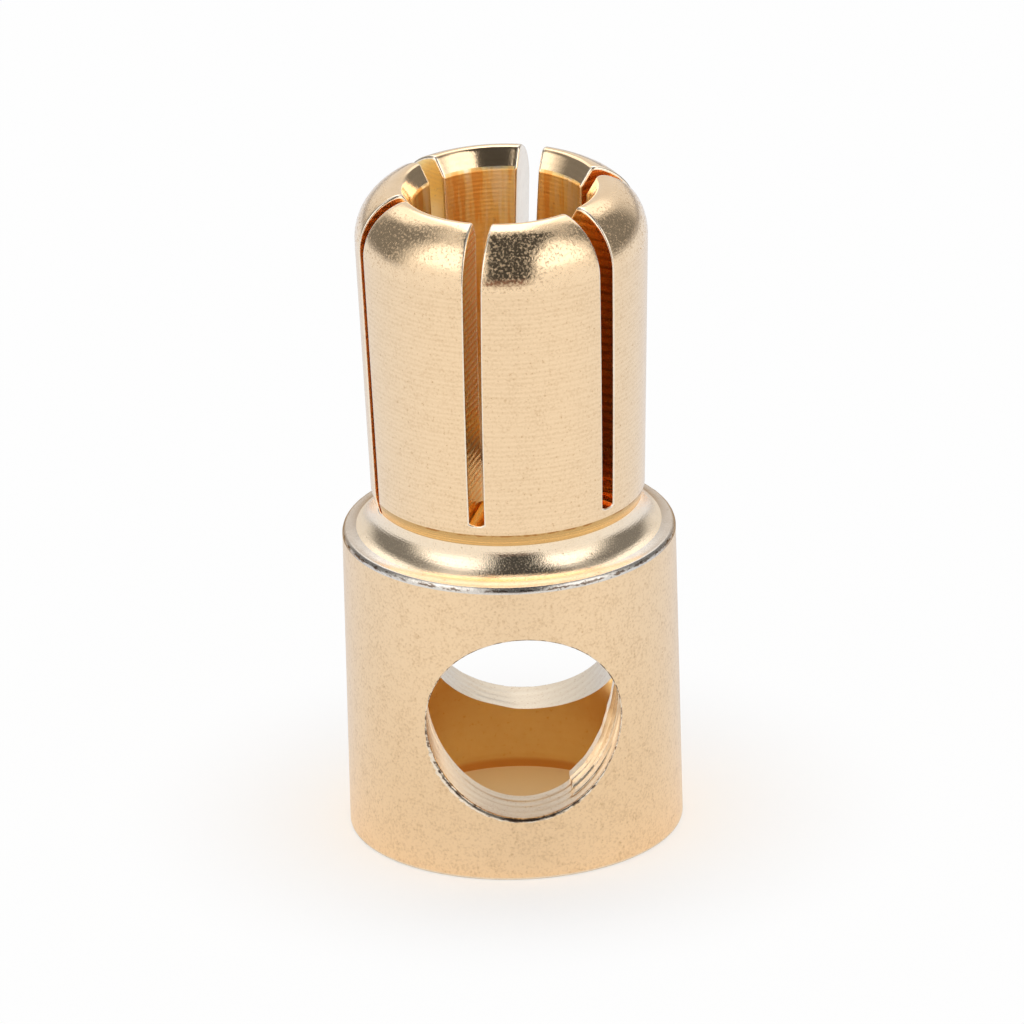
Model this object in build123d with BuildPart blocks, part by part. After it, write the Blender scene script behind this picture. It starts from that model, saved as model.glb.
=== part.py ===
from build123d import *
import os
from math import cos, radians, sin, sqrt, tan

# Male bullet contact turned from one brass bar, all sizes in millimetres.
# Z runs up the contact's axis from its open solder-cup end, and the cross hole runs along Y.

# Lower body and its shoulder
body_radius = 4.7
body_height = 8.95
bottom_edge_break = 0.05
shoulder_chamfer = 0.08
shoulder_chamfer_height = 0.15
shoulder_land = 0.04

# Solder cup, open at the bottom, with a solid web above it
cup_radius = 3.1
cup_lead_in = 0.2
cup_lead_in_height = 0.4
web_thickness = 1.0

# Cross hole through both cup walls, drilled a little off the contact's axis
hole_radius = 2.74
hole_height = 4.6
hole_offset = 0.27
hole_edge_break = 0.06

# Neck between the shoulder and the fingers
neck_radius = 3.78
neck_length = 0.1
neck_taper_height = 0.35

# Spring fingers, splayed outwards and closed in by a rounded nose
finger_root_radius = 3.86
flank_height = 7.48
splay_angle = 2.0
nose_radius = 1.6
crest_land = 0.06

# Bore inside the fingers, with a chamfered mouth and a drill point at its foot
bore_mouth_radius = 2.45
mouth_chamfer = 0.36
mouth_chamfer_height = 0.56
bore_below_finger_foot = 0.2
drill_point_angle = 118

# Saw slots: each pass runs right across the crown, and one pass went deeper than the others
saw_pass_count = 3
first_pass_angle = 16.4
slot_root_width = 0.43
slot_mouth_width = 0.57
slot_above_finger_foot = 0.26
deep_slot_below_finger_foot = 0.4
deep_pass_number = 0
saw_run_out = 1.0
drill_run_out = 1.0

# The cove is a quarter round from the neck down to the narrow land inside the shoulder's chamfer.
cove_end_radius = body_radius - shoulder_chamfer - shoulder_land
cove_radius = cove_end_radius - neck_radius
cove_top_height = body_height + cove_radius
cove_middle = (
    cove_end_radius - cove_radius * sin(radians(45)),
    cove_top_height - cove_radius * cos(radians(45)),
)
neck_top_height = cove_top_height + neck_length
finger_foot_height = neck_top_height + neck_taper_height

# The nose arc leaves the splayed flank without a corner, so its centre lies square to the flank.
nose_start_height = finger_foot_height + flank_height
nose_start_radius = finger_root_radius + flank_height * tan(radians(splay_angle))
nose_centre_radius = nose_start_radius - nose_radius * cos(radians(splay_angle))
nose_centre_height = nose_start_height + nose_radius * sin(radians(splay_angle))
crest_radius = bore_mouth_radius + mouth_chamfer + crest_land
crest_height = nose_centre_height + sqrt(nose_radius**2 - (crest_radius - nose_centre_radius) ** 2)
nose_middle = (
    nose_centre_radius + nose_radius * cos(radians(45)),
    nose_centre_height + nose_radius * sin(radians(45)),
)

# The bore was straight until the fingers were splayed, so it narrows towards their roots.
chamfer_foot_height = crest_height - mouth_chamfer_height
bore_foot_height = finger_foot_height - bore_below_finger_foot
bore_length = chamfer_foot_height - bore_foot_height
bore_root_radius = bore_mouth_radius - bore_length * tan(radians(splay_angle))
drill_tip_height = bore_foot_height - bore_root_radius / tan(radians(drill_point_angle / 2))
cup_depth = drill_tip_height - web_thickness

slot_floor_height = finger_foot_height + slot_above_finger_foot
deep_slot_floor_height = finger_foot_height - deep_slot_below_finger_foot

with BuildPart() as bullet_contact:
    # Half section of the turned piece, from the cup's end wall round to the tip of the bore
    with BuildSketch(Plane.XZ):
        with BuildLine():
            Polyline(
                (0, cup_depth),
                (cup_radius, cup_depth),
                (cup_radius, cup_lead_in_height),
                (cup_radius + cup_lead_in, 0),
                (body_radius - bottom_edge_break, 0),
                (body_radius, bottom_edge_break),
                (body_radius, body_height - shoulder_chamfer_height),
                (body_radius - shoulder_chamfer, body_height),
                (cove_end_radius, body_height),
            )
            ThreePointArc(
                (cove_end_radius, body_height), cove_middle, (neck_radius, cove_top_height)
            )
            Polyline(
                (neck_radius, cove_top_height),
                (neck_radius, neck_top_height),
                (finger_root_radius, finger_foot_height),
                (nose_start_radius, nose_start_height),
            )
            ThreePointArc(
                (nose_start_radius, nose_start_height), nose_middle, (crest_radius, crest_height)
            )
            Polyline(
                (crest_radius, crest_height),
                (crest_radius - crest_land, crest_height),
                (bore_mouth_radius, chamfer_foot_height),
                (bore_root_radius, bore_foot_height),
                (0, drill_tip_height),
                (0, cup_depth),
            )
        make_face()
    revolve(axis=Axis.Z)

    # Three saw passes leave six slots, each a little wider at the mouth where the fingers splay
    for pass_number in range(saw_pass_count):
        pass_angle = first_pass_angle + pass_number * 180 / saw_pass_count
        is_deep = pass_number == deep_pass_number
        floor_height = deep_slot_floor_height if is_deep else slot_floor_height
        with BuildSketch(Plane.YZ.rotated((0, 0, pass_angle))):
            with BuildLine():
                Polyline(
                    (-slot_root_width / 2, floor_height),
                    (slot_root_width / 2, floor_height),
                    (slot_mouth_width / 2, crest_height),
                    (slot_mouth_width / 2, crest_height + saw_run_out),
                    (-slot_mouth_width / 2, crest_height + saw_run_out),
                    (-slot_mouth_width / 2, crest_height),
                    close=True,
                )
            make_face()
        extrude(amount=body_radius + saw_run_out, both=True, mode=Mode.SUBTRACT)

    # Cross hole along Y, through the front and back walls of the cup
    with BuildSketch(Plane.XZ):
        with Locations((hole_offset, hole_height)):
            Circle(hole_radius)
    extrude(amount=body_radius + drill_run_out, both=True, mode=Mode.SUBTRACT)

    # Edge break on the hole's front and back rims, the two that lie farthest out along Y
    rim_groups = bullet_contact.edges(Select.LAST).filter_by(GeomType.BSPLINE).group_by(Axis.Y)
    chamfer(rim_groups[0] + rim_groups[-1], length=hole_edge_break)

bullet_contact.part.label = "bullet_contact"

os.makedirs("parts", exist_ok=True)
export_step(bullet_contact.part, "parts/bullet_contact.step")
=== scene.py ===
"""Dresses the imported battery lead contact, a slotted gold-plated piece, on a pale studio floor."""

from math import asin, cos, pi, radians, sin, tan
from types import SimpleNamespace

import bmesh
import bpy
import numpy as np
from bpy.props import FloatProperty, FloatVectorProperty, PointerProperty
from mathutils import Matrix, Vector


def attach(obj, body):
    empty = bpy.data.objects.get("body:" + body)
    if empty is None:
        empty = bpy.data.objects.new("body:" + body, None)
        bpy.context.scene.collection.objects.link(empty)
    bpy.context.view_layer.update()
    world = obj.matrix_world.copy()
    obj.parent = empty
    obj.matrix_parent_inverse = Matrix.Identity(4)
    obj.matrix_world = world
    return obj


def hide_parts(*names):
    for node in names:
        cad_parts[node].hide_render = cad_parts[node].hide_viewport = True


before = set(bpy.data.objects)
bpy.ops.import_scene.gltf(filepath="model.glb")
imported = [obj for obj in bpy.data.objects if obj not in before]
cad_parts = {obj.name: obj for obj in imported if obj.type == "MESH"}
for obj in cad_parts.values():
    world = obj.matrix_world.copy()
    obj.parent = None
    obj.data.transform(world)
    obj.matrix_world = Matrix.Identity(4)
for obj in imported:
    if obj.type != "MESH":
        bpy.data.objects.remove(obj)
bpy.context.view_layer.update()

bl_info = {
    "name": "Bullet contact",
    "version": (1, 0, 0),
    "blender": (4, 5, 0),
    "location": "View3D > Sidebar > Contact",
    "description": "Builds a slotted bullet contact with its solder cup, gold finish and studio",
    "category": "Add Mesh",
}

MM = 0.001
HOLE_RADIUS = 2.74
HOLE_HEIGHT = 4.6
HOLE_OFFSET = 0.27


def size(name, millimetres, description):
    """A length property whose default is written in millimetres."""
    return FloatProperty(
        name=name, description=description, default=millimetres * MM, precision=5, unit="LENGTH"
    )


def lengths(name, millimetres, description):
    """One length for each slot, with the defaults in millimetres."""
    return FloatVectorProperty(
        name=name, description=description, size=len(millimetres), precision=5, unit="LENGTH",
        default=[value * MM for value in millimetres],
    )


def turn(name, degrees, description):
    """An angle property whose default is written in degrees."""
    return FloatProperty(
        name=name, description=description, default=radians(degrees), subtype="ANGLE"
    )


def colour(name, value, description):
    """A colour property in linear light."""
    return FloatVectorProperty(
        name=name, description=description, default=value, size=3, min=0, max=1, subtype="COLOR"
    )


def share(name, value, description):
    """A plain number between nothing and one."""
    return FloatProperty(name=name, description=description, default=value, min=0, max=1)


class ContactSizes(bpy.types.PropertyGroup):
    """Sizes of the turned contact"""

    body_radius: size("Body radius", 4.7, "Outside of the lower body")
    body_height: size("Body height", 8.95, "Height of the body's shoulder")
    foot_break: size("Foot edge break", 0.05, "Edge break round the body's foot")
    shoulder_round: size("Shoulder rounding", 0.11, "Width of the shoulder's worn rounding")
    shoulder_drop: size("Shoulder rounding drop", 0.15, "Height of that rounding")
    cove_radius: size("Cove radius", 0.8, "Quarter round between shoulder and neck")
    neck_radius: size("Neck radius", 3.78, "Neck under the fingers")
    neck_length: size("Neck length", 0.1, "Straight length of the neck")
    neck_taper: size("Neck taper", 0.35, "Height of the neck's widening")
    cup_radius: size("Cup radius", 3.1, "Inside of the solder cup")
    cup_lead_in: size("Cup lead-in", 0.2, "Width of the chamfer at the cup's mouth")
    cup_lead_in_height: size("Cup lead-in height", 0.4, "Height of that chamfer")
    cup_depth: size("Cup depth", 7.711, "Height of the cup's end wall")
    hole_radius: size("Cross hole radius", HOLE_RADIUS, "Hole through both walls of the cup")
    hole_height: size("Cross hole height", HOLE_HEIGHT, "Height of the hole's middle")
    hole_offset: size("Cross hole offset", HOLE_OFFSET, "How far the hole lies to the right")
    finger_root_radius: size("Finger root radius", 3.86, "Outside of the fingers at their foot")
    flank_height: size("Finger flank height", 7.48, "Height of the fingers' straight outside")
    splay: turn("Splay", 2, "Outward lean of the fingers")
    nose_radius: size("Nose radius", 1.6, "Rounding over the fingers' tips")
    bore_mouth_radius: size("Bore mouth radius", 2.45, "Bore under its mouth chamfer")
    mouth_chamfer: size("Mouth chamfer", 0.36, "Width of the chamfer at the bore's mouth")
    mouth_chamfer_height: size("Mouth chamfer height", 0.56, "Height of that chamfer")
    bore_foot_drop: size("Bore foot", 0.2, "Drop of the bore below the fingers' foot")
    drill_point: turn("Drill point", 118, "Full angle of the cone at the bore's foot")
    crest_land: size("Crest land", 0.06, "Flat between the nose and the mouth chamfer")
    first_slot: turn("First slot", 16.4, "Direction of the first saw pass")
    slot_root_width: size("Slot root width", 0.43, "Width of the slots at their floor")
    slot_mouth_width: size("Slot mouth width", 0.57, "Width of the slots at the crest")
    slot_rise: size("Slot floor", 0.26, "Slot floors above the fingers' foot")
    deep_slot_drop: size("Deep slot floor", 0.4, "Deeper pair below the fingers' foot")
    edge_round: size("Edge rounding", 0.045, "Setback along the slots' edges")
    rim_break: size("Hole rim break", 0.07, "Setback round the cross hole")
    crest_round: size("Crest edge rounding", 0.045, "Extra setback at the crest")
    floor_dish: size("Slot floor dish", 0.06, "Lift of the slot floors at their side walls")
    slot_lean: lengths("Slot lean", (0, -0.26, 0, 0, 0.14, -0.1), "Shift of each slot at the crest")
    slot_spread: lengths("Slot spread", (0, 0.08, 0, -0.16, -0.05, -0.05), "Extra width at the crest")


class GoldFinish(bpy.types.PropertyGroup):
    """Colours and gloss of the gold plate, several of which paint shade, highlights and reflections"""

    plate: colour("Plate", (1, 0.745, 0.475), "Colour of the gold plate")
    # Painted shade: the plate darkens to this in pits and tool-mark grooves.
    shade: colour("Plate in pits", (0.5, 0.29, 0.12), "Darker plate in pits and grooves")
    # The deeper hue of the bore and neck paints the look of repeated reflection inside them.
    inner: colour("Inner plate", (1, 0.76, 0.34), "Deeper plate in the bore")
    # Paler plate that paints the light and reflection in the front slot.
    slot: colour("Bright slot plate", (1, 0.9, 0.58), "Pale plate in the brightest slot")
    # Painted shade deep in the bore, and in the bore's grooves.
    painted_bore_shade: colour("Dull plate", (0.4, 0.34, 0.32), "Dull plate at the foot of the bore")
    cove: colour("Cove plate", (1, 0.82, 0.6), "Plate in the cove")
    # Pale plate on the shoulder's edge and the cove's foot: partly worn, partly a painted highlight.
    land: colour("Shoulder plate", (0.82, 0.77, 0.7), "Plate worn pale on the shoulder")
    # The cup's deeper hue paints the look of repeated reflection inside it.
    cup: colour("Cup plate", (0.89, 0.66, 0.315), "Plate inside the solder cup")
    # Painted shade in the cup: in its grooves and in the dark band at its mouth.
    inner_shade: colour("Inner plate in grooves", (0.72, 0.36, 0.09), "Darker plate in the cup")
    # The slots' deep hue paints the look of repeated reflection in them.
    sawn: colour("Sawn plate", (1, 0.54, 0.17), "Deepest plate, in the slots")
    # Painted shade in the saw marks, and the neck's painted shadow.
    sawn_shade: colour("Sawn plate in grooves", (0.42, 0.16, 0.03), "Darkest plate in the saw marks")
    # Painted shade: the slots' foot is darker than their walls.
    foot: colour("Slot foot plate", (0.64, 0.38, 0.14), "Plate at the foot of the slots")
    # Dark ragged lines at the shoulder's edge and the hole's rim; on the shoulder they are burrs with their
    # shade painted in.
    burr: colour("Burrs", (0.14, 0.075, 0.04), "Dark ragged edges")
    # Brown streaks down the bore are painted reflections.
    streak: colour("Bore streaks", (0.86, 0.43, 0.1), "Brown streaks down the bore")
    # The pale colour also paints the bright reflected streaks down the bore.
    pale: colour("Pale plate", (1, 0.87, 0.7), "Plate rubbed pale on edges")
    bored: colour("Cross hole plate", (0.87, 0.75, 0.59), "Matt plate in the cross hole")
    rough: share("Bored roughness", 0.36, "Roughness of the bore")
    satin: share("Satin roughness", 0.34, "Roughness of the lower body")
    turned: share("Turned roughness", 0.26, "Roughness of the turned fingers")
    polished: share("Polished roughness", 0.12, "Roughness of the noses and the cove")


class StudioSetting(bpy.types.PropertyGroup):
    """Camera and light of the studio"""

    elevation: turn("Camera elevation", 23.25, "Height of the camera above the horizon")
    roll: turn("Camera roll", 1.535, "Clockwise turn about the line of sight")
    distance: size("Camera distance", 900, "Distance from the camera to its aim")
    lens: FloatProperty(name="Lens", description="Focal length in millimetres", default=1123)
    aim_height: size("Aim height", 9.3, "Height of the camera's aim")
    aim_right: size("Aim to the right", 0.0958, "Sideways shift of the aim")
    aim_down: size("Aim downwards", 0.0282, "Downward shift of the aim")
    floor_colour: colour("Floor", (0.84, 0.84, 0.84), "Colour of the floor")
    floor_front: colour("Reflected floor", (0.95, 0.95, 0.95), "Floor in front, for gloss")
    # Darker, warmer floor near the foot that gloss sees: painted shade and gold bounce light.
    floor_near_shade_and_bounce: colour("Reflected foot", (0.78, 0.73, 0.66), "Floor near the foot, for gloss")
    floor_rear: colour("Reflected floor behind", (0.83, 0.89, 1), "Cooler floor behind, for gloss")
    floor_far: colour("Reflected horizon", (0.3, 0.3, 0.32), "Far floor behind, for gloss")
    strip_foot: colour("Strip on the floor", (0.2, 0.1, 0.07), "Floor under the dark strip, for gloss")
    # Golden floor colour inside the cup: painted bounce light from the gold walls.
    painted_cup_bounce: colour("Floor in the cup", (1, 0.82, 0.52), "Colour of the floor in the cup")
    # The floor inside the cup glows with this for camera and gloss: painted bounce light.
    cup_light: colour("Light in the cup", (0.8, 0.48, 0.2), "Golden light on the cup's floor")


SLOT_COUNT = 6
DEEP_SLOTS = (0, 3)
GAP_COLUMNS = 4
FINGER_COLUMNS = 26
SECTOR_COLUMNS = GAP_COLUMNS + FINGER_COLUMNS
COLUMN_COUNT = SLOT_COUNT * SECTOR_COLUMNS
STEP = 2 * pi / COLUMN_COUNT
WALL_COLUMNS = 12
ROUND_STEPS = 4
JOIN_REACH = 2e-4
CREST_STEPS = 4
FLANK_ROWS = 46
NOSE_ROWS = 13
TIP_ROWS = 10
CONE_ROWS = 8
COVE_ROWS = 19
HIGHLIGHT_COVE_ROWS = 5
EDGE_ROWS = 8
NOSE_END = radians(65)
SHARP_ANGLE = radians(38)
# The finishes in the order of RECIPES, and the one on the walls of each slot.
SATIN, SHOULDER, FLANK, NOSE, SAWN, BORE, CUP, HOLE, RIM, NECK, WORN_AND_HIGHLIGHT, OPEN, TORN, MOUTH, FOOT = range(15)
# The walls' finishes paint how each slot is lit: the pale rim finish in the far slot paints the bright
# backdrop it reflects, the bright slot finish paints the light in the front one.
SLOT_FINISHES = (SAWN, RIM, BORE, SAWN, OPEN, SAWN)


def in_millimetres(group):
    """The group's sizes as plain numbers, lengths in millimetres and angles in radians."""
    values = {}
    for name in group.__annotations__:
        value, rna = getattr(group, name), group.bl_rna.properties[name]
        value = np.array(value) if rna.is_array else value
        values[name] = value / MM if rna.unit == "LENGTH" else value
    return SimpleNamespace(**values)


def spread(first, last, steps):
    """Evenly spaced numbers from first up to, and without, last."""
    return np.linspace(first, last, steps, endpoint=False)


def polar(radius, angle, height):
    """Points at a radius from the axis, an angle round it from +X and a height."""
    radius, angle, height = np.broadcast_arrays(radius, angle, height)
    return np.stack([radius * np.cos(angle), radius * np.sin(angle), height], axis=-1)


def curve_through(start, corner, end, steps=ROUND_STEPS):
    """Quadratic curve from start to end that leans towards corner: (1-t)^2, 2t(1-t) and t^2 shares."""
    t = np.linspace(0, 1, steps + 1).reshape((-1,) + (1,) * start.ndim)
    return (1 - t) ** 2 * start + 2 * t * (1 - t) * corner + t**2 * end


def ripple(angle, seed, low=25, high=110):
    """A fixed uneven ring: a sum of sines of the angle with random strengths and phases, about -1 to 1."""
    rng = np.random.default_rng(seed)
    wave_count, stretch = 14, 2.2
    counts = rng.integers(low, high, wave_count)
    strengths, phases = rng.uniform(0.4, 1, wave_count), rng.uniform(0, 2 * pi, wave_count)
    waves = np.sin(np.multiply.outer(angle, counts) + phases)
    return (waves * strengths).sum(axis=-1) / strengths.sum() * stretch


class Shell:
    """Grids of points whose shared borders are later joined into one closed skin."""

    def __init__(self):
        self.points, self.faces, self.finishes, self.count = [], [], [], 0

    def grid(self, points, finish, keep=None, wrap=False):
        """Adds rows and columns of points, with a quad between neighbours wherever keep is true."""
        rows, columns = points.shape[:2]
        index = np.arange(rows * columns).reshape(rows, columns) + self.count
        if wrap:
            index = np.concatenate([index, index[:, :1]], axis=1)
        quads = np.stack([index[:-1, :-1], index[:-1, 1:], index[1:, 1:], index[1:, :-1]], axis=-1)
        kept = np.ones(quads.shape[:2], bool) if keep is None else keep
        self.points.append(points.reshape(-1, 3))
        self.faces.append(quads[kept])
        self.finishes.append(np.broadcast_to(finish, kept.shape)[kept])
        self.count += rows * columns

    def mesh(self, name):
        """Joins the grids, closes the poles, turns every face outwards and rounds the shading."""
        mesh = bpy.data.meshes.new(name)
        mesh.from_pydata(np.concatenate(self.points) * MM, [], np.concatenate(self.faces).tolist())
        mesh.polygons.foreach_set("material_index", np.concatenate(self.finishes).astype(np.int32))
        joined = bmesh.new()
        joined.from_mesh(mesh)
        bmesh.ops.remove_doubles(joined, verts=joined.verts, dist=JOIN_REACH * MM)
        bmesh.ops.recalc_face_normals(joined, faces=joined.faces)
        open_edges = sum(len(edge.link_faces) != 2 for edge in joined.edges)
        volume = joined.calc_volume(signed=True) / MM**3
        joined.to_mesh(mesh)
        joined.free()
        if open_edges or volume <= 0:
            raise RuntimeError(f"{name} is not a closed skin: {open_edges} open edges, {volume:.1f} mm3")
        mesh.shade_smooth()
        return mesh


def crown_outline(s):
    """Half outline of the crown, up its outside, over the crest and down its bore, with its named rows.

    Rows inside and outside share their heights, so a slot wall is ruled straight between them.
    """
    cove_top = s.body_height + s.cove_radius
    neck_top = cove_top + s.neck_length
    foot = neck_top + s.neck_taper
    nose_start = foot + s.flank_height
    nose_start_radius = s.finger_root_radius + s.flank_height * tan(s.splay)
    centre = (
        nose_start_radius - s.nose_radius * cos(s.splay),
        nose_start + s.nose_radius * sin(s.splay),
    )
    crest_radius = s.bore_mouth_radius + s.mouth_chamfer + s.crest_land
    crest = centre[1] + np.sqrt(s.nose_radius**2 - (crest_radius - centre[0]) ** 2)
    chamfer_foot = crest - s.mouth_chamfer_height
    bore_foot = foot - s.bore_foot_drop
    bore_root_radius = s.bore_mouth_radius - (chamfer_foot - bore_foot) * tan(s.splay)
    drill_tip = bore_foot - bore_root_radius / tan(s.drill_point / 2)
    regular_floor, deep_floor = foot + s.slot_rise, foot - s.deep_slot_drop

    lip, next_row = s.floor_dish - s.edge_round, 0.1
    deep_row = deep_floor + lip
    regular_row = regular_floor + lip
    low = [cove_top, deep_row, neck_top, deep_row + next_row, bore_foot, foot, regular_row]
    flank = spread(regular_row + next_row, nose_start, FLANK_ROWS)
    corner_turn = asin((chamfer_foot - centre[1]) / s.nose_radius)
    nose_turn = np.concatenate(
        [spread(-s.splay, corner_turn, NOSE_ROWS), np.linspace(corner_turn, NOSE_END, TIP_ROWS)]
    )
    nose = np.stack(
        [centre[0] + s.nose_radius * np.cos(nose_turn), centre[1] + s.nose_radius * np.sin(nose_turn)], 1
    )

    neck_rows = np.array(low[:-1])
    neck_radii = np.interp(
        neck_rows, [cove_top, neck_top, foot], [s.neck_radius, s.neck_radius, s.finger_root_radius]
    )
    flank_rows = np.concatenate([low[-1:], flank])
    flank_radii = s.finger_root_radius + (flank_rows - foot) * tan(s.splay)
    outer = np.concatenate(
        [np.stack([neck_radii, neck_rows], 1), np.stack([flank_radii, flank_rows], 1), nose]
    )

    crest_out = nose[-1]
    heading_out = np.array([-sin(NOSE_END), cos(NOSE_END)])
    crest_in_share = 0.82
    crest_in = np.array([
        s.bore_mouth_radius + s.mouth_chamfer * crest_in_share,
        chamfer_foot + s.mouth_chamfer_height * crest_in_share,
    ])
    heading_in = np.array([s.mouth_chamfer, s.mouth_chamfer_height])
    along = np.linalg.solve(np.stack([heading_out, -heading_in], 1), crest_in - crest_out)
    corner = crest_out + heading_out * along[0]
    over = curve_through(crest_out, corner, crest_in, 2 * CREST_STEPS)[1:]

    inner_rows = outer[:-1, 1][::-1]
    inner_radii = np.interp(
        inner_rows,
        [drill_tip, bore_foot, chamfer_foot, crest],
        [0, bore_root_radius, s.bore_mouth_radius, s.bore_mouth_radius + s.mouth_chamfer],
    )
    inner = np.stack([inner_radii, inner_rows], 1)
    cone_rows = np.linspace(cove_top, drill_tip, CONE_ROWS + 1)[1:]
    cone = np.stack([(cone_rows - drill_tip) * tan(s.drill_point / 2), cone_rows], 1)
    line = np.concatenate([outer, over, inner, cone])

    last_inner = len(outer) + len(over) + len(inner) - 1
    return SimpleNamespace(
        line=line, crest=crest, cove_top=cove_top, nose_start=nose_start, last=last_inner,
        top=len(outer) - 1 + CREST_STEPS, neck_row=low.index(neck_top), foot_row=low.index(foot),
        floors=[deep_floor if j in DEEP_SLOTS else regular_floor for j in range(SLOT_COUNT)],
        floor_rows=[low.index(deep_row if j in DEEP_SLOTS else regular_row) for j in range(SLOT_COUNT)],
    )


def even_columns(s):
    """The evenly spaced directions of the columns, slot by slot."""
    return s.first_slot + STEP * (np.arange(COLUMN_COUNT) - GAP_COLUMNS / 2)


def build_crown(shell, s):
    """The fingers, their slots and the bore: a turned skin, opened along the slots and walled.

    Each column of the skin lies at slot direction plus or minus asin((half width + setback) / radius).
    """
    line = crown_outline(s)
    radius, height = line.line.T
    rows = len(radius)
    slope = np.gradient(line.line, axis=0)
    normal = np.stack([slope[:, 1], -slope[:, 0]], 1)
    normal /= np.linalg.norm(normal, axis=1)[:, None]

    gap_shares = np.linspace(-1, 1, GAP_COLUMNS + 1)
    finger_shares = np.arange(1, FINGER_COLUMNS) / FINGER_COLUMNS
    directions = s.first_slot + np.arange(SLOT_COUNT + 1) * 2 * pi / SLOT_COUNT
    near_crest = np.clip((height - line.nose_start) / (line.crest - line.nose_start), 0, 1)
    setback = s.edge_round + s.crest_round * near_crest**2
    reach = radius[np.arange(rows).clip(0, line.last - 1)]
    widest = 0.5
    half_widths, middles, lefts, rights = [], [], [], []
    for slot in range(SLOT_COUNT):
        rise = np.clip((height - line.floors[slot]) / (line.crest - line.floors[slot]), 0, 1)
        width = s.slot_root_width + (s.slot_mouth_width - s.slot_root_width) * rise
        half = (width + s.slot_spread[slot] * rise) / 2
        middle = s.slot_lean[slot] * rise**2
        half_widths.append(half)
        middles.append(middle)
        lefts.append(np.arcsin(np.clip((middle - half - setback) / reach, -widest, widest)))
        rights.append(np.arcsin(np.clip((middle + half + setback) / reach, -widest, widest)))

    blocks = []
    heights = np.repeat(height[:, None], COLUMN_COUNT, axis=1)
    keep = np.ones((rows - 1, COLUMN_COUNT), bool)
    for slot in range(SLOT_COUNT):
        left, right = lefts[slot][:, None], rights[slot][:, None]
        start = directions[slot] + right
        end = directions[slot + 1] + lefts[(slot + 1) % SLOT_COUNT][:, None]
        gap = directions[slot] + left + (right - left) * (gap_shares + 1) / 2
        blocks += [gap, start + (end - start) * finger_shares]
        first = line.floor_rows[slot]
        last = line.last - first
        column = slot * SECTOR_COLUMNS
        keep[first:last, column:column + GAP_COLUMNS] = False
        dip = s.floor_dish * (1 - np.abs(gap_shares) ** 3)
        heights[[first, last], column:column + GAP_COLUMNS + 1] -= dip
    angles = np.concatenate(blocks, axis=1)
    skin = polar(radius[:, None], angles, heights)

    middle = (height[:-1] + height[1:]) / 2
    zone = np.full(rows - 1, FLANK)
    zone[middle > line.nose_start] = NOSE
    zone[line.top - CREST_STEPS:] = MOUTH
    zone[line.top + CREST_STEPS + TIP_ROWS - 2:] = BORE
    zone[:line.neck_row] = SHOULDER
    zone[line.neck_row:line.foot_row] = NECK
    shell.grid(skin, zone[:, None], keep, wrap=True)

    for slot in range(SLOT_COUNT):
        direction = directions[slot]
        along = np.array([cos(direction), sin(direction), 0])
        across = np.array([-sin(direction), cos(direction), 0])
        up = np.array([0, 0, 1])

        def place(lateral, outward, upward):
            """Points of the slot from sideways, radial and vertical distances."""
            return (
                np.multiply.outer(lateral, across)
                + np.multiply.outer(outward, along)
                + np.multiply.outer(upward, up)
            )

        first = line.floor_rows[slot]
        last = line.last - first
        span = slice(first, last + 1)
        half, middle, back = half_widths[slot][span], middles[slot][span], setback[span]
        edge_height = height[span].copy()
        edge_height[[0, -1]] += s.edge_round
        column = slot * SECTOR_COLUMNS
        shares = np.linspace(0, 1, WALL_COLUMNS + 1)
        half_count = (last - first) // 2
        for side, edge_column in ((-1, column), (1, column + GAP_COLUMNS)):
            lateral = middle + side * half
            edge_out = np.sqrt(radius[span] ** 2 - lateral**2)
            wall_out = edge_out - back * normal[span, 0]
            wall_up = edge_height - back * normal[span, 1]
            wall_up[[0, -1]] = edge_height[[0, -1]]
            wall_out[0], wall_out[-1] = edge_out[0] - s.edge_round, edge_out[-1] + s.edge_round
            start, end = skin[span, edge_column], place(lateral, wall_out, wall_up)
            shell.grid(curve_through(start, place(lateral, edge_out, edge_height), end), RIM)
            outside, inside = end[:half_count + 1], end[half_count:][::-1]
            wall = outside[:, None] + (inside - outside)[:, None] * shares[:, None]
            shell.grid(wall, SLOT_FINISHES[slot])

        lateral = gap_shares * half[0]
        floor_up = height[first] + s.edge_round - s.floor_dish * (1 - np.abs(gap_shares) ** 3)
        ends = []
        for row, inward in ((first, -1), (last, 1)):
            start = skin[row, column:column + GAP_COLUMNS + 1]
            corner = place(lateral, np.sqrt(radius[row] ** 2 - lateral**2), floor_up)
            rim_out = np.sqrt(radius[row] ** 2 - half[0] ** 2) + inward * s.edge_round
            end = place(lateral, rim_out + 0 * lateral, floor_up)
            shell.grid(curve_through(start, corner, end), RIM)
            ends.append(end)
        # The slot's floor takes the darker foot finish: painted shade.
        shell.grid(ends[0][:, None] + (ends[1] - ends[0])[:, None] * shares[:, None], FOOT)
    return line, skin[0], angles[0]


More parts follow.
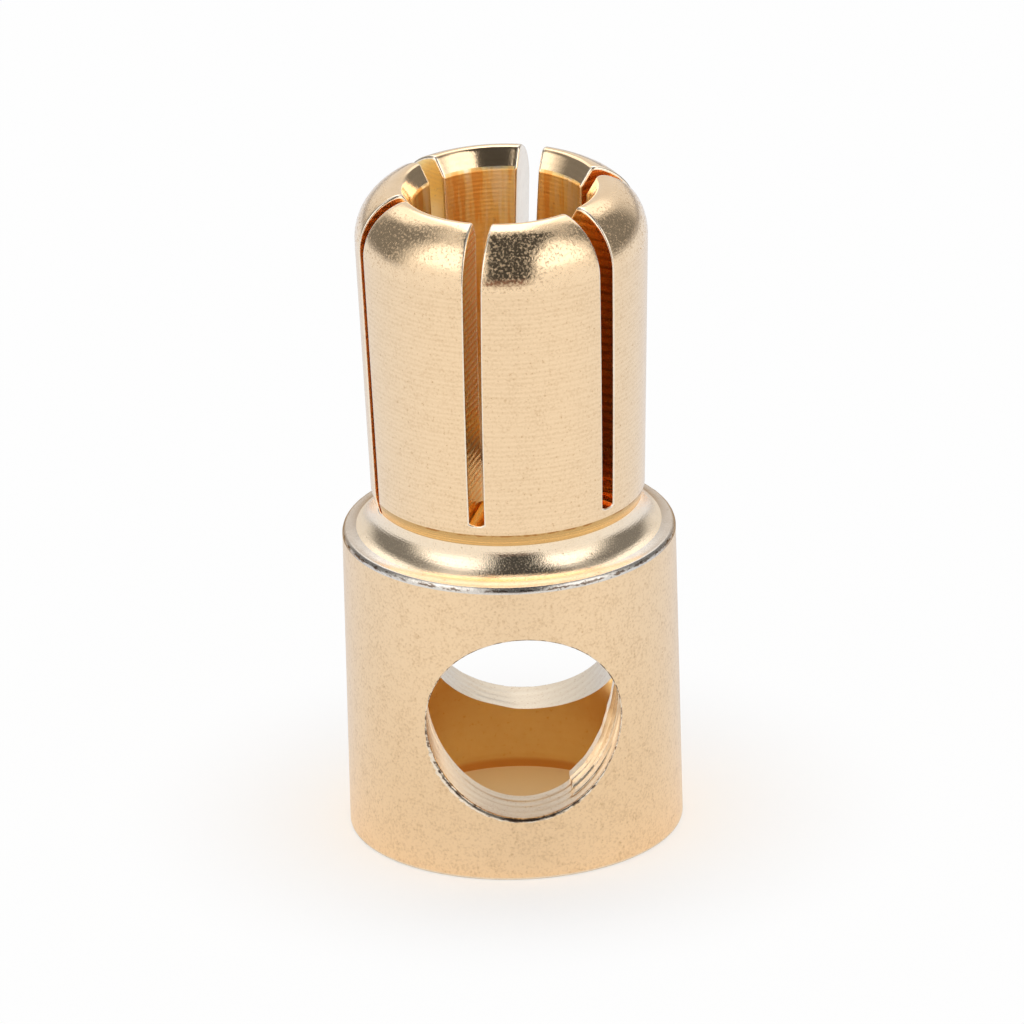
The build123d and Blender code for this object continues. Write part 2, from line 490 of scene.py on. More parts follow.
def build_shoulder(shell, s, line, ring_angles):
    """The cove under the fingers and the shoulder's edge, turned as rings that even out downwards."""
    cove_end = s.neck_radius + s.cove_radius
    down = np.linspace(0, pi / 2, COVE_ROWS)
    cove = np.stack(
        [cove_end - s.cove_radius * np.cos(down), line.cove_top - s.cove_radius * np.sin(down)], 1
    )
    over = np.linspace(pi / 2, 0, EDGE_ROWS)
    edge = np.stack([
        s.body_radius - s.shoulder_round * (1 - np.cos(over)),
        s.body_height - s.shoulder_drop * (1 - np.sin(over)),
    ], 1)
    below = 0.04
    wall_top = np.array([(s.body_radius, s.body_height - s.shoulder_drop - below)])
    ring = np.concatenate([cove, edge, wall_top])
    count = len(ring)
    settle = np.linspace(0, 1, count)[:, None]
    even = even_columns(s)
    angles = ring_angles * (1 - settle) + even * settle
    radii = np.repeat(ring[:, :1], COLUMN_COUNT, axis=1)
    heights = np.repeat(ring[:, 1:], COLUMN_COUNT, axis=1)
    dent, drop, uneven = 0.005, 0.006, 0.007
    radii[COVE_ROWS + 3:COVE_ROWS + 7] += dent * ripple(even, seed=5) - dent
    heights[COVE_ROWS + 2:COVE_ROWS + 6] += uneven * ripple(even, seed=6) - drop
    finish = np.full((count - 1, 1), SHOULDER)
    # The cove's lowest rows and the shoulder's edge take the pale finish: partly worn plate, partly a
    # painted highlight.
    finish[COVE_ROWS - HIGHLIGHT_COVE_ROWS:] = WORN_AND_HIGHLIGHT
    shell.grid(polar(radii, angles, heights), finish, wrap=True)
    return ring[-1, 1]


# Ledges left by the drill in the hole's wall: bearing in degrees round the hole, then how far they
# stand inwards at the wall's inner end, for the front mouth (-1) and the rear mouth (1).
LEDGES = {
    -1: ((-180, 0.02), (-62, 0.02), (-60.5, 0.25), (-45, 0.26), (-30, 0.28), (-15, 0.3), (0, 0.2),
         (12, 0.05), (17, 0.01), (120, 0.01), (180, 0.02)),
    1: ((-180, 0.04), (-150, 0.05), (-105, 0.05), (-95, 0), (60, 0), (180, 0.04)),
}
# Where along the wall each ledge stands, and its part of the whole. Each is as wide as LEDGE_STEP.
LEDGE_PARTS = ((0.24, 0.2), (0.49, 0.3), (0.73, 0.5))
LEDGE_STEP = 0.03
WALL_SHARES = (
    0, 0.08, 0.16, 0.235, 0.25, 0.265, 0.34, 0.42, 0.485, 0.5, 0.515, 0.58, 0.65, 0.725, 0.74, 0.755,
    0.83, 0.92, 1,
)
# Width of the edge break round each mouth of the hole, as a multiple of its plain width.
BURRS = {
    -1: ((-180, 0.6), (-165, 1.4), (-150, 2.4), (-115, 1.9), (-95, 1.5), (-70, 1.5), (-45, 1.1),
         (-30, 0.5), (60, 0.4), (150, 0.4), (180, 0.6)),
    1: ((-180, 0.9), (180, 0.9)),
}
# The block of columns round each mouth of the hole: its first direction in degrees and its width.
MOUTH_BLOCKS = {
    (-1, "outer"): (232.4, 42), (1, "outer"): (44.4, 42),
    (-1, "inner"): (210.4, 72), (1, "inner"): (6.4, 72),
}


def ease(x):
    """Smooth step from nothing at 0 to one at 1."""
    x = np.clip(x, 0, 1)
    return x * x * (3 - 2 * x)


class Opening:
    """One mouth of the cross hole on a cylinder: a grid from the hole's rim out to a block of columns.

    In the unrolled wall (angle, height) each line runs straight from the rim to the block's border.
    """

    def __init__(self, s, side, radius, first_column, columns, heights):
        self.s, self.side, self.radius = s, side, radius
        self.first, self.columns, self.heights = first_column, columns, heights
        around = np.arange(first_column, first_column + columns + 1)
        directions = s.first_slot + STEP * (around - GAP_COLUMNS / 2)
        chart = np.sort((directions - 1.5 * pi) if side < 0 else (pi / 2 - directions))
        half, low, high = columns // 2, heights[-1], heights[0]
        rising = heights[::-1]
        runs = (
            (chart[half:-1], low), (chart[-1], rising[:-1]), (chart[:0:-1], high),
            (chart[0], rising[:0:-1]), (chart[:half], low),
        )
        self.border = np.concatenate([np.stack(np.broadcast_arrays(*run), 1) for run in runs])

    def bearings(self):
        """Directions from the hole's middle to the block's border, seen along the hole."""
        sideways = self.radius * np.sin(self.border[:, 0]) - self.s.hole_offset
        return np.unwrap(np.arctan2(self.border[:, 1] - self.s.hole_height, sideways))

    def on_wall(self, chart):
        """Points of the cylinder from its unrolled angle and height."""
        turned = self.radius * np.cos(chart[..., 0]) * self.side
        return np.stack([self.radius * np.sin(chart[..., 0]), turned, chart[..., 1]], axis=-1)

    def rim(self, bearings, reach):
        """The unrolled angle and height of the hole's rim at a distance from the hole's middle."""
        sideways = self.s.hole_offset + reach * np.cos(bearings)
        upright = self.s.hole_height + reach * np.sin(bearings)
        return np.stack([np.arcsin(sideways / self.radius), upright], axis=-1)

    def cover(self, shell, rim_chart, finish, steps=11):
        """Adds the grid between the rim and the block's border, denser near the rim."""
        t = (np.linspace(0, 1, steps + 1) ** 1.5)[:, None, None]
        shell.grid(self.on_wall(rim_chart * (1 - t) + self.border * t), finish, wrap=True)

    def cut(self, keep, heights):
        """Takes this opening's block of quads out of the cylinder's own grid."""
        first_row = int(np.argmin(np.abs(heights - self.heights[0])))
        last_row = int(np.argmin(np.abs(heights - self.heights[-1])))
        columns = np.arange(self.first, self.first + self.columns) % COLUMN_COUNT
        keep[first_row:last_row, columns] = False


def build_body(shell, s, top):
    """The lower body: outer wall, foot, solder cup and the cross hole with its worked rims."""
    even = even_columns(s)
    block_foot, outer_top, inner_top, lift = 1.2, 8, 7.6, 0.02
    outer_rows, inner_rows = 67, 37
    outer_block = np.linspace(outer_top, block_foot, outer_rows)
    inner_block = np.linspace(inner_top, block_foot, inner_rows)
    foot_up = s.foot_break + lift
    outer_heights = np.concatenate(
        [spread(top, outer_top, 6), outer_block, np.linspace(block_foot, foot_up, 9)[1:]]
    )
    inner_foot = np.linspace(block_foot, s.cup_lead_in_height, 6)[1:]
    inner_heights = np.concatenate([spread(s.cup_depth, inner_top, 2), inner_block, inner_foot])

    walls = {
        "outer": (s.body_radius, outer_block, outer_heights),
        "inner": (s.cup_radius, inner_block, inner_heights),
    }
    keep = {
        wall: np.ones((len(heights) - 1, COLUMN_COUNT), bool)
        for wall, (radius, block, heights) in walls.items()
    }
    openings = {}
    for (side, wall), (direction, columns) in MOUTH_BLOCKS.items():
        radius, block, heights = walls[wall]
        first = int(round((radians(direction) - even[0]) / STEP))
        openings[side, wall] = Opening(s, side, radius, first, columns, block)
        openings[side, wall].cut(keep[wall], heights)
    shell.grid(
        polar(s.body_radius, even, outer_heights[:, None]), SATIN, keep["outer"], wrap=True
    )
    shell.grid(polar(s.cup_radius, even, inner_heights[:, None]), CUP, keep["inner"], wrap=True)

    for side in (-1, 1):
        outer, inner = openings[side, "outer"], openings[side, "inner"]
        bearings = outer.bearings()
        faced = (np.degrees(bearings) + 180) % 360 - 180
        shares = np.array(WALL_SHARES)
        drop = sum(part * ease((shares - at) / LEDGE_STEP) for at, part in LEDGE_PARTS)
        ragged = 1 + 0.05 * ripple(bearings, seed=21 + side, low=12, high=40)
        stand = np.interp(faced, *zip(*LEDGES[side])) * ragged
        reach = s.hole_radius - drop[:, None] * stand
        rough = 0.5 + 0.5 * ripple(bearings, seed=11 + side)
        burr = np.interp(faced, *zip(*BURRS[side]))
        rim_reach = s.hole_radius + s.rim_break * burr * (0.7 + 0.6 * rough)
        sideways = s.hole_offset + reach * np.cos(bearings)
        upright = s.hole_height + reach * np.sin(bearings)
        y_out = np.sqrt(s.body_radius**2 - sideways**2)
        y_in = np.sqrt(s.cup_radius**2 - sideways**2)
        depth = s.rim_break * burr * (0.75 + 0.5 * ripple(bearings, seed=31 + side) ** 2)
        y = (y_out - depth) + (y_in - y_out + depth) * shares[:, None]
        wall = np.stack([sideways, side * y, upright], -1)
        outside = outer.on_wall(outer.rim(bearings, rim_reach))
        corner = outer.on_wall(outer.rim(bearings, reach[0]))
        shell.grid(curve_through(outside, corner, wall[0]), TORN if side < 0 else RIM, wrap=True)
        outer.cover(shell, outer.rim(bearings, rim_reach), SATIN)
        shell.grid(wall, HOLE, wrap=True)
        inner.cover(shell, inner.rim(bearings, reach[-1]), CUP, steps=9)

    foot = np.array([
        (s.body_radius, foot_up),
        (s.body_radius - 0.3 * s.foot_break, 0.3 * s.foot_break + lift / 2),
        (s.body_radius - s.foot_break, 0),
    ])
    mouth = s.cup_radius + s.cup_lead_in
    ring = np.linspace((s.body_radius - s.foot_break, 0), (mouth, 0), 9)
    lead_in = np.linspace((mouth, 0), (s.cup_radius, s.cup_lead_in_height), 5)
    for part, finish in ((foot, RIM), (ring, SATIN), (lead_in, CUP)):
        shell.grid(polar(part[:, :1], even, part[:, 1:]), finish, wrap=True)
    disc = np.linspace(s.cup_radius, 0, 13)[:, None]
    shell.grid(polar(disc, even, s.cup_depth), CUP, wrap=True)


class Graph:
    """Adds nodes to a tree: an input given as a socket is joined to it, any other is set on it."""

    def __init__(self, tree):
        self.tree = tree

    def feed(self, node, inputs):
        for key, value in inputs.items():
            if isinstance(value, bpy.types.NodeSocket):
                self.tree.links.new(value, node.inputs[key])
            else:
                node.inputs[key].default_value = value

    def add(self, kind, inputs=None, **settings):
        node = self.tree.nodes.new("ShaderNode" + kind)
        for key, value in settings.items():
            setattr(node, key, value)
        self.feed(node, inputs or {})
        return node

    def math(self, operation, *values, clamp=False):
        return self.add("Math", dict(enumerate(values)), operation=operation, use_clamp=clamp).outputs[0]

    def vector(self, operation, *values):
        return self.add("VectorMath", dict(enumerate(values)), operation=operation).outputs[0]

    def ease(self, value, low, high, at_low=0, at_high=1):
        """A smooth step of value between low and high."""
        inputs = {"Value": value, "From Min": low, "From Max": high, "To Min": at_low, "To Max": at_high}
        return self.add("MapRange", inputs, interpolation_type="SMOOTHSTEP").outputs[0]

    def window(self, value, low, high, soft):
        """One between low and high and nothing outside, with soft borders."""
        rising = self.ease(value, low - soft, low + soft)
        return self.math("MULTIPLY", rising, self.ease(value, high + soft, high - soft))

    def mix(self, factor, first, second):
        """Two colours mixed, each a socket or three numbers."""
        first, second = (
            end if isinstance(end, bpy.types.NodeSocket) else (*end, 1) for end in (first, second)
        )
        return self.add("Mix", {0: factor, 6: first, 7: second}, data_type="RGBA").outputs[2]

    def noise(self, vector, scale, detail, roughness=0.5):
        inputs = {"Vector": vector, "Scale": scale, "Detail": detail, "Roughness": roughness}
        return self.add("TexNoise", inputs).outputs[0]

    def group(self, tree, inputs):
        return self.add("Group", inputs, node_tree=tree).outputs

    def place(self):
        """Object coordinates in millimetres, whole and as X, Y and Z."""
        whole = self.vector("MULTIPLY", self.add("TexCoord").outputs["Object"], (1 / MM,) * 3)
        return whole, self.add("SeparateXYZ", {"Vector": whole}).outputs


def node_group(name, values, build):
    """A shader node group with a position and values as inputs, which puts out what build makes of them."""
    tree = bpy.data.node_groups.new(name, "ShaderNodeTree")
    tree.interface.new_socket("Position", in_out="INPUT", socket_type="NodeSocketVector")
    for label in values:
        tree.interface.new_socket(label, in_out="INPUT", socket_type="NodeSocketFloat")
    g = Graph(tree)
    results = build(g, tree.nodes.new("NodeGroupInput").outputs)
    for label in results:
        tree.interface.new_socket(label, in_out="OUTPUT", socket_type="NodeSocketFloat")
    g.feed(tree.nodes.new("NodeGroupOutput"), results)
    return tree


def grain_group():
    """Uneven plate: fine grain, cloudy tone and scattered pits of a cell pattern, in millimetres."""
    cloud_scale, cloud_start = 2.2, 0.62
    smallest_pit, pit_spread, pit_shade, pit_depth = 0.06, 0.14, 0.42, 0.5

    def build(g, entry):
        position = entry["Position"]
        fine = g.noise(position, entry["Grain Scale"], 2, 0.65)
        cloud = g.noise(position, cloud_scale, 1, 0.6)
        cells = g.add("TexVoronoi", {"Vector": position, "Scale": entry["Pit Scale"]}).outputs
        tint = g.add("SeparateColor", {"Color": cells["Color"]}).outputs
        chosen = g.math("GREATER_THAN", tint[0], g.math("SUBTRACT", 1, entry["Pit Share"]))
        reach = g.math("MULTIPLY_ADD", tint[1], pit_spread, smallest_pit)
        spot = g.ease(g.math("DIVIDE", cells["Distance"], reach), 1.25, 0.6)
        pit = g.math("MULTIPLY", spot, chosen)
        fleck = g.ease(fine, 0.62, 0.78)
        shade = g.math("MULTIPLY", g.math("SUBTRACT", cloud_start, cloud, clamp=True), entry["Cloud"])
        shade = g.math("ADD", shade, g.math("MULTIPLY", fleck, entry["Fleck"]))
        shade = g.math("MULTIPLY_ADD", g.math("SUBTRACT", fine, 0.5), entry["Tone"], shade)
        # Painted shade in the pits.
        shade = g.math("MAXIMUM", shade, g.math("MULTIPLY", pit, pit_shade), clamp=True)
        return {"Shade": shade, "Height": g.math("SUBTRACT", fine, g.math("MULTIPLY", pit, pit_depth))}

    return node_group(
        "plate_grain", ("Grain Scale", "Pit Scale", "Pit Share", "Cloud", "Fleck", "Tone"), build
    )


def marks_group():
    """Tool marks: a regular wave along one direction, roughened by noise stretched across it."""
    stretch, bend_scale, bend_reach, rough_scale = 0.25, 2, 5, 1.6

    def build(g, entry):
        along = g.math("DIVIDE", entry["Along"], entry["Pitch"])
        around = g.vector("MULTIPLY", entry["Position"], (stretch,) * 3)
        place = g.vector("ADD", g.add("CombineXYZ", {"X": along}).outputs[0], around)
        rough = g.noise(place, rough_scale, 2, 0.65)
        bend = g.noise(around, bend_scale, 0)
        phase = g.math("MULTIPLY_ADD", bend, bend_reach, g.math("MULTIPLY", along, 2 * pi))
        wave = g.math("MULTIPLY_ADD", g.math("SINE", phase), 0.5, 0.5)
        return {
            "Height": g.math("ADD", g.math("MULTIPLY", wave, entry["Evenness"]), rough), "Rough": rough
        }

    return node_group("tool_marks", ("Along", "Pitch", "Evenness"), build)


def line_group():
    """A ragged dark line between two heights, broken up by noise where Ragged is high."""
    edge, sway_reach, upright_share = 0.014, 0.22, 2.5

    def build(g, entry):
        flat = g.vector("MULTIPLY", entry["Position"], (1, 1, upright_share))
        uneven = g.math("SUBTRACT", g.noise(flat, 7, 3, 0.7), 0.5)
        sway = g.math("MULTIPLY", uneven, g.math("MULTIPLY", entry["Ragged"], sway_reach))
        at = g.math("ADD", entry["Along"], sway)
        low = g.ease(g.math("SUBTRACT", at, entry["Low"]), -edge, edge)
        inside = g.math("MULTIPLY", low, g.ease(g.math("SUBTRACT", entry["High"], at), -edge, edge))
        patchy = g.ease(g.noise(flat, 2.3, 2, 0.6), 0.42, 0.58)
        gaps = g.math("MULTIPLY", entry["Ragged"], g.math("SUBTRACT", 1, patchy))
        return {"Shade": g.math("MULTIPLY", inside, g.math("SUBTRACT", 1, gaps))}

    return node_group("dark_line", ("Along", "Low", "High", "Ragged"), build)


def along_z(g, xyz):
    return xyz["Z"]


def along_y(g, xyz):
    return xyz["Y"]


def across(g, first, second):
    """The root of two sockets' squares added up."""
    return g.math("SQRT", g.math("ADD", g.math("POWER", first, 2), g.math("POWER", second, 2)))


def around_axis(g, xyz):
    """Direction round the contact's axis in radians."""
    return g.math("ARCTAN2", xyz["Y"], xyz["X"])


def out_from_hole(g, xyz):
    """Distance from the cross hole's axis."""
    sideways = g.math("SUBTRACT", xyz["X"], HOLE_OFFSET)
    return across(g, sideways, g.math("SUBTRACT", xyz["Z"], HOLE_HEIGHT))


def on_the_slant(g, xyz):
    """Height on a slot's wall with a share of the distance from the axis taken off, as saw teeth run."""
    slant = -0.12
    return g.math("MULTIPLY_ADD", across(g, xyz["X"], xyz["Y"]), slant, xyz["Z"])


def recipe(**changes):
    """One finish: its colours and gloss, its grain and pits, then its tool marks.

    Sizes are in millimetres, but coarse and cut, the depths of grain and marks, in thousandths of them.
    Each of the dark lines has a low end, a high end, a depth of shade and a raggedness.
    """
    values = dict(
        hue="plate", dark="shade", edge=None, gloss="turned", gloss_spread=0.08, speck=0, streak=0,
        grain=14, pits=5, pit_share=0.12, cloud=0.25, fleck=0.4, tone=0.5, coarse=3,
        direction=along_z, pitch=0.15, evenness=0.5, mark_tone=0.1, cut=2, lines=(), lines_along=along_z,
    )
    return SimpleNamespace(**{**values, **changes})


SAW_MARKS = dict(direction=on_the_slant, evenness=0.8, mark_tone=1.1, pitch=0.26, cut=6, tone=0.4)
TORN_METAL = dict(dark="burr", edge="shade", fleck=0.3, mark_tone=0.03, cut=1)
RECIPES = {
    "satin_body": recipe(gloss="satin", gloss_spread=0.12, grain=12, pits=4.5, cloud=0.4, fleck=0.12,
                         tone=1.2, pitch=0.22, evenness=0.1, mark_tone=0.05, cut=1.2, coarse=2.5),
    "polished_shoulder": recipe(hue="cove", gloss="polished", grain=22, pits=6, tone=0.4, pitch=0.07,
                                mark_tone=0.03, cut=1.2, coarse=5, speck=0.22),
    "turned_flank": recipe(pits=4.5, pit_share=0.14, tone=0.8, mark_tone=0.2, cut=2.3),
    "polished_nose": recipe(gloss="polished", pit_share=0.06, fleck=0.12, tone=0.3, pitch=0.1,
                            evenness=0.2, mark_tone=0.04, cut=1, coarse=4, speck=0.5),
    # Deep slot plate that paints repeated reflection, with painted shade in its saw marks.
    "sawn_slot": recipe(hue="sawn", dark="sawn_shade", edge="sawn", **SAW_MARKS),
    # Painted shade darkens the bore's foot, and its pale and brown streaks paint reflections.
    "drilled_bore": recipe(hue="inner", dark="painted_bore_shade", gloss="rough", grain=9, pitch=0.13, evenness=0.4,
                           mark_tone=0.2, cut=4, tone=0.3, streak=0.68, lines=((7, 10.9, 0.9, 0),)),
    # The dark band at the cup's mouth is painted shade.
    "reamed_cup": recipe(hue="cup", dark="inner_shade", gloss="satin", grain=7, pits=4, pit_share=0.05,
                         pitch=0.3, evenness=0.2, cut=1, tone=0.15, coarse=1.5,
                         lines=((-0.5, 0.32, 0.8, 0),)),
    "drilled_hole": recipe(hue="bored", gloss="satin", direction=along_y, pitch=0.42, evenness=0.4,
                           mark_tone=0.25, fleck=0.7, cut=4),
    "burnished_rim": recipe(hue="pale", grain=16, pits=6, mark_tone=0.03, cut=1),
    # The neck's dark lines paint its shade in the recess and the shadow under the fingers' foot.
    "turned_neck": recipe(hue="inner", dark="sawn_shade", tone=0.3, pitch=0.08,
                          lines=((9.6, 10.5, 0.58, 0), (9.8, 9.99, 0.6, 0.1), (10.14, 10.25, 0.9, 0.5))),
    # Pale plate partly worn, partly a painted highlight; its ragged dark line is burrs with their shade
    # painted in.
    "worn_edge_and_highlight": recipe(hue="land", tone=0.3, pits=6, lines=((8.818, 8.882, 0.85, 1),), **TORN_METAL),
    # Paler plate that paints the light in the front slot.
    "bright_slot": recipe(hue="slot", dark="sawn", edge="pale",
                          **{**SAW_MARKS, "pitch": 0.2, "evenness": 0.9, "mark_tone": 1.9, "tone": 0.3}),
    "torn_rim": recipe(hue="pale", grain=16, lines=((HOLE_RADIUS, HOLE_RADIUS + 0.09, 0.9, 0.9),),
                       lines_along=out_from_hole, **TORN_METAL),
    "polished_mouth": recipe(gloss="polished", pit_share=0.04, fleck=0.1, tone=0.2, cut=1, coarse=2),
    # Darker plate at the slots' foot: painted shade.
    "sawn_foot": recipe(hue="foot", dark="sawn_shade", edge="foot", **SAW_MARKS),
}


def gold_material(name, finish, groups):
    """Gold plate with its grain, pits and tool marks, with painted shade inside pits and grooves and in the
    finish's dark lines.
    """
    r = RECIPES[name]
    line_soft, mark_top = 0.12, 0.9
    streak_pitch, streak_foot, streak_full = 0.2, 10, 10.6
    speck_range = 0.45, 0.75
    grain_tree, marks_tree, line_tree = groups
    material = bpy.data.materials.new(name)
    material.use_nodes = True
    g = Graph(material.node_tree)
    position, xyz = g.place()
    grained = g.group(grain_tree, {
        "Position": position, "Grain Scale": r.grain, "Pit Scale": r.pits, "Pit Share": r.pit_share,
        "Cloud": r.cloud, "Fleck": r.fleck, "Tone": r.tone,
    })
    marked = g.group(marks_tree, {
        "Position": position, "Along": r.direction(g, xyz), "Pitch": r.pitch, "Evenness": r.evenness,
    })
    # Painted shade: the plate darkens in the tool marks' grooves.
    groove = g.math("SUBTRACT", mark_top, marked["Height"])
    shade = g.math("MULTIPLY_ADD", groove, r.mark_tone, grained["Shade"])
    shade = g.math("MAXIMUM", shade, 0, clamp=True)
    # Dark lines of the finish: painted shade at the bore's foot, the cup's mouth and the neck, and burr
    # lines at the shoulder's edge and the hole's rim.
    for low, high, depth, ragged in r.lines:
        along = r.lines_along(g, xyz)
        if ragged:
            line = g.group(line_tree, {
                "Position": position, "Along": along, "Low": low, "High": high, "Ragged": ragged,
            })["Shade"]
        else:
            line = g.window(along, low, high, line_soft)
        shade = g.math("MAXIMUM", shade, g.math("MULTIPLY", line, depth))
    hue = g.mix(shade, getattr(finish, r.hue), getattr(finish, r.dark))
    # Pale and brown streaks round the bore: painted reflections.
    if r.streak:
        streaked = g.group(marks_tree, {
            "Position": position, "Along": around_axis(g, xyz), "Pitch": streak_pitch, "Evenness": 0,
        })
        offset = g.math("SUBTRACT", streaked["Rough"], 0.5)
        offset = g.math("MULTIPLY", offset, g.ease(xyz["Z"], streak_foot, streak_full))
        for reach, stripe in ((0.16, finish.pale), (-0.14, finish.streak)):
            hue = g.mix(g.ease(offset, 0, reach, 0, r.streak), hue, stripe)
    smoothest = getattr(finish, r.gloss) - 0.5 * r.gloss_spread
    roughness = g.math("MULTIPLY_ADD", grained["Height"], r.gloss_spread, smoothest)
    if r.speck:
        roughness = g.math("ADD", roughness, g.ease(grained["Height"], *speck_range, 0, r.speck))
    marks = g.add("Bump", {"Height": marked["Height"], "Distance": r.cut * MM * MM}).outputs[0]
    relief = g.add("Bump", {"Height": grained["Height"], "Distance": r.coarse * MM * MM, "Normal": marks})
    shader = material.node_tree.nodes["Principled BSDF"]
    g.feed(shader, {"Base Color": hue, "Roughness": roughness, "Normal": relief.outputs[0], "Metallic": 1})
    if r.edge:
        shader.inputs["Specular Tint"].default_value = (*getattr(finish, r.edge), 1)
    return material


class CONTACT_OT_build_contact(bpy.types.Operator):
    """Build the turned contact as one closed skin and give each zone its gold finish"""

    bl_idname = "contact.build_contact"
    bl_label = "Build contact"

    def execute(self, context):
        s = in_millimetres(context.scene.contact_sizes)
        shell = Shell()
        line, ring, ring_angles = build_crown(shell, s)
        top = build_shoulder(shell, s, line, ring_angles)
        build_body(shell, s, top)
        mesh = shell.mesh("bullet_contact_skin")
        contact = bpy.data.objects.new("bullet_contact_skin", mesh)
        context.scene.collection.objects.link(contact)
        finish = context.scene.gold_finish
        groups = grain_group(), marks_group(), line_group()
        for name in RECIPES:
            mesh.materials.append(gold_material(name, finish, groups))
        mesh.set_sharp_from_angle(angle=SHARP_ANGLE)
        weighted = contact.modifiers.new("weighted_normals", "WEIGHTED_NORMAL")
        weighted.keep_sharp = True
        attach(contact, "root")
        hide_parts("bullet_contact")
        return {"FINISHED"}


def floor_material(studio):
    """Pale matt floor that keeps its shadow, and turns white for camera, gloss and glass further out.

    Gloss sees it a little cooler behind the contact, with the studio's dark strip running out in front.
    Each pair is the start and end of a soft step, for distances in millimetres from the axis.
    """
    under_ring, near_foot, shadow, far_off = (3.4, 4.5), (6, 22), (3.4, 12), (90, 260)
    shadow_levels, rearwards, horizon_start = (0.25, 0.92), (-0.9, 0.9), (-0.2, 0.1)
    strip_start, strip_edge = (-80, -110), (0.4, 0.3)
    material = bpy.data.materials.new("floor")
    material.use_nodes = True
    nodes = material.node_tree.nodes
    g = Graph(material.node_tree)
    place, xyz = g.place()
    away = g.add("VectorMath", {0: place}, operation="LENGTH").outputs["Value"]
    outside = g.ease(away, *under_ring)
    # Inside the cup the floor is coloured golden as painted bounce light.
    hue = g.mix(outside, studio.painted_cup_bounce, studio.floor_colour)
    shader = nodes["Principled BSDF"]
    g.feed(shader, {"Base Color": hue, "Roughness": 0.9, "Specular IOR Level": 0})

    rear_share = g.math("DIVIDE", xyz["Y"], away)
    behind = g.ease(rear_share, *rearwards)
    reflected = g.mix(behind, studio.floor_front, studio.floor_rear)
    clear = g.math("MAXIMUM", g.ease(away, *near_foot), behind)
    # Near the foot gloss sees the painted shade and gold bounce light.
    reflected = g.mix(clear, studio.floor_near_shade_and_bounce, reflected)
    horizon = g.math("MULTIPLY", g.ease(away, *far_off), g.ease(rear_share, *horizon_start))
    reflected = g.mix(horizon, reflected, studio.floor_far)
    sideways = g.math("ABSOLUTE", g.math("DIVIDE", xyz["X"], g.math("MINIMUM", xyz["Y"], -1)))
    strip = g.math("MULTIPLY", g.ease(xyz["Y"], *strip_start), g.ease(sideways, *strip_edge))
    reflected = g.mix(strip, reflected, studio.strip_foot)
    path = g.add("LightPath").outputs
    seen = g.mix(path["Is Camera Ray"], reflected, (1, 1, 1))
    # The floor inside the cup glows golden: painted bounce light.
    seen = g.mix(outside, studio.cup_light, seen)
    glow = g.add("Emission", {"Color": seen, "Strength": 1}).outputs[0]
    rays = g.math("ADD", path["Is Camera Ray"], path["Is Glossy Ray"])
    rays = g.math("ADD", rays, path["Is Transmission Ray"], clamp=True)
    lit = g.math("MULTIPLY", g.ease(away, *shadow, *shadow_levels), rays)
    mixed = g.add("MixShader", {0: lit, 1: shader.outputs[0], 2: glow}).outputs[0]
    g.feed(nodes["Material Output"], {"Surface": mixed})
    return material


# Levels of the light: plain, added by the lamps, at the sides, behind and above, and after a bounce.
PLAIN_LIGHT, LAMP_LIGHT, SIDE_LIGHT, UPPER_LIGHT, BOUNCED_LIGHT = 1.05, 0.6, 0.2, 0.8, 2.05
# Patches that gloss sees, in degrees: the low end, high end and softness sideways, the same for the
# tilt, and the level. The last one is the dark strip.
PATCHES = (
    ((-38, -19, 4), (110, 118, 3), 0.3),
    ((-34, 34, 6), (120, 146, 3), 1.3),
    ((-12, 9, 3), (106, 144, 3), 2.1),
    ((-14, 24, 2), (-12, 101, 3), 0.06),
)


def studio_world():
    """Soft white light, in which gloss shows bright walls with two lamps, patches and a dark strip.

    Directions are seen from the contact in degrees: side is 0 straight in front and grows to both
    sides, rise is the height above the horizon, and tilt runs from the front over the zenith to the rear.
    """
    side_wall, rear_wall, ceiling, later_rays = (72, 95), (122, 152), (52, 70), (2.2, 2.8)
    lamp_side, lamp_rise = (30, 72, 6), (16, 56, 8)
    world = bpy.data.worlds.new("studio")
    world.use_nodes = True
    g = Graph(world.node_tree)
    xyz = g.add("SeparateXYZ", {"Vector": g.add("TexCoord").outputs["Generated"]}).outputs
    ahead = g.math("MULTIPLY", xyz["Y"], -1)

    def in_degrees(operation, *values):
        return g.math("MULTIPLY", g.math(operation, *values), 180 / pi)

    def blend(level, mask, target):
        return g.math("MULTIPLY_ADD", mask, g.math("SUBTRACT", target, level), level)

    side = g.math("ABSOLUTE", in_degrees("ARCTAN2", xyz["X"], ahead))
    tilt = in_degrees("ARCTAN2", xyz["Z"], ahead)
    rise = in_degrees("ARCSINE", xyz["Z"])
    sideways = in_degrees("ARCSINE", xyz["X"])
    level = g.ease(side, *side_wall, 1, SIDE_LIGHT)
    level = g.math("MAXIMUM", level, g.ease(side, *rear_wall, 0, UPPER_LIGHT))
    level = blend(level, g.ease(rise, *ceiling), UPPER_LIGHT)
    lamps = g.math("MULTIPLY", g.window(side, *lamp_side), g.window(rise, *lamp_rise))
    level = g.math("MULTIPLY_ADD", lamps, LAMP_LIGHT, level)
    for breadth, height, shown in PATCHES:
        patch = g.math("MULTIPLY", g.window(sideways, *breadth), g.window(tilt, *height))
        level = blend(level, patch, shown)
    path = g.add("LightPath").outputs
    level = blend(level, g.ease(path["Ray Depth"], *later_rays), BOUNCED_LIGHT)
    extra = g.math("SUBTRACT", level, PLAIN_LIGHT)
    strength = g.math("MULTIPLY_ADD", path["Is Glossy Ray"], extra, PLAIN_LIGHT)
    g.feed(world.node_tree.nodes["Background"], {"Color": (1, 1, 1, 1), "Strength": strength})
    return world


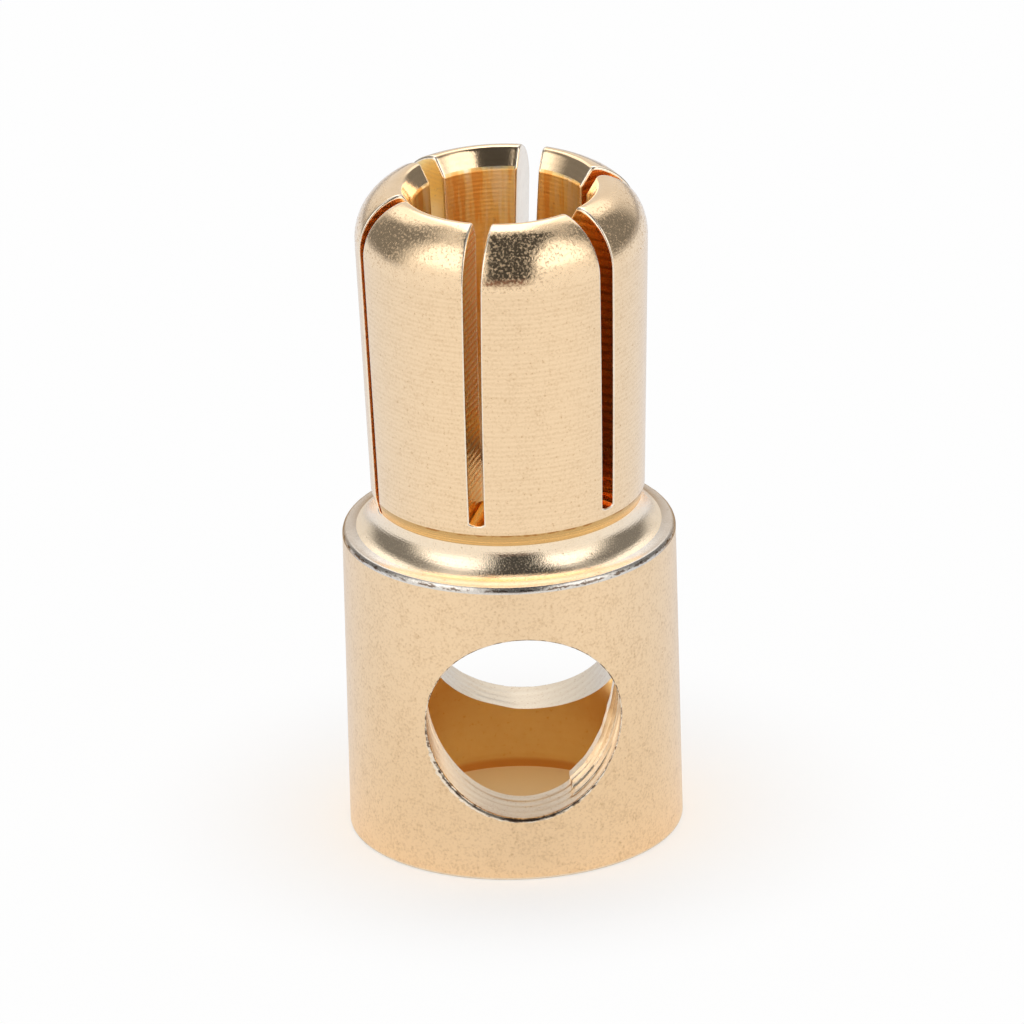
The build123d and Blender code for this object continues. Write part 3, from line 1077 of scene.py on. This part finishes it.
class CONTACT_OT_build_stage(bpy.types.Operator):
    """Set out the pale floor, the soft light and the camera"""

    bl_idname = "contact.build_stage"
    bl_label = "Build stage"

    def execute(self, context):
        scene = context.scene
        studio = scene.studio_setting
        elevation, roll = studio.elevation, studio.roll
        back = Vector((0, -cos(elevation), sin(elevation)))
        right, up = Vector((1, 0, 0)), Vector((0, sin(elevation), cos(elevation)))
        camera_right = right * cos(roll) - up * sin(roll)
        camera_up = right * sin(roll) + up * cos(roll)
        aim = Vector((0, 0, studio.aim_height))
        aim += camera_right * studio.aim_right - camera_up * studio.aim_down
        camera = bpy.data.objects.new("camera", bpy.data.cameras.new("camera"))
        camera.data.lens = studio.lens
        camera.data.sensor_width = 36
        camera.data.clip_start, camera.data.clip_end = 0.05, 20
        turned = Matrix((camera_right, camera_up, back)).transposed().to_4x4()
        camera.matrix_world = Matrix.Translation(aim + back * studio.distance) @ turned
        scene.collection.objects.link(camera)
        scene.camera = camera
        scene.view_settings.view_transform = "Standard"

        floor_mesh = bpy.data.meshes.new("floor")
        reach = 3
        floor_mesh.from_pydata(
            [(-reach, -reach, 0), (reach, -reach, 0), (reach, reach, 0), (-reach, reach, 0)],
            [], [(0, 1, 2, 3)],
        )
        floor = bpy.data.objects.new("floor", floor_mesh)
        scene.collection.objects.link(floor)
        floor_mesh.materials.append(floor_material(studio))
        scene.world = studio_world()
        return {"FINISHED"}


class CONTACT_PT_tools(bpy.types.Panel):
    """Lists the steps that build the contact"""

    bl_label = "Bullet contact"
    bl_idname = "CONTACT_PT_tools"
    bl_space_type = "VIEW_3D"
    bl_region_type = "UI"
    bl_category = "Contact"

    def draw(self, context):
        for step in STEPS:
            self.layout.operator(step.bl_idname)


STEPS = (CONTACT_OT_build_contact, CONTACT_OT_build_stage)
GROUPS = {"contact_sizes": ContactSizes, "gold_finish": GoldFinish, "studio_setting": StudioSetting}
CLASSES = (*GROUPS.values(), *STEPS, CONTACT_PT_tools)


def register():
    for item in CLASSES:
        bpy.utils.register_class(item)
    for name, group in GROUPS.items():
        setattr(bpy.types.Scene, name, PointerProperty(type=group))


def unregister():
    for name in GROUPS:
        delattr(bpy.types.Scene, name)
    for item in reversed(CLASSES):
        bpy.utils.unregister_class(item)


def main():
    register()
    bpy.ops.contact.build_contact()
    bpy.ops.contact.build_stage()


if __name__ == "__main__":
    main()
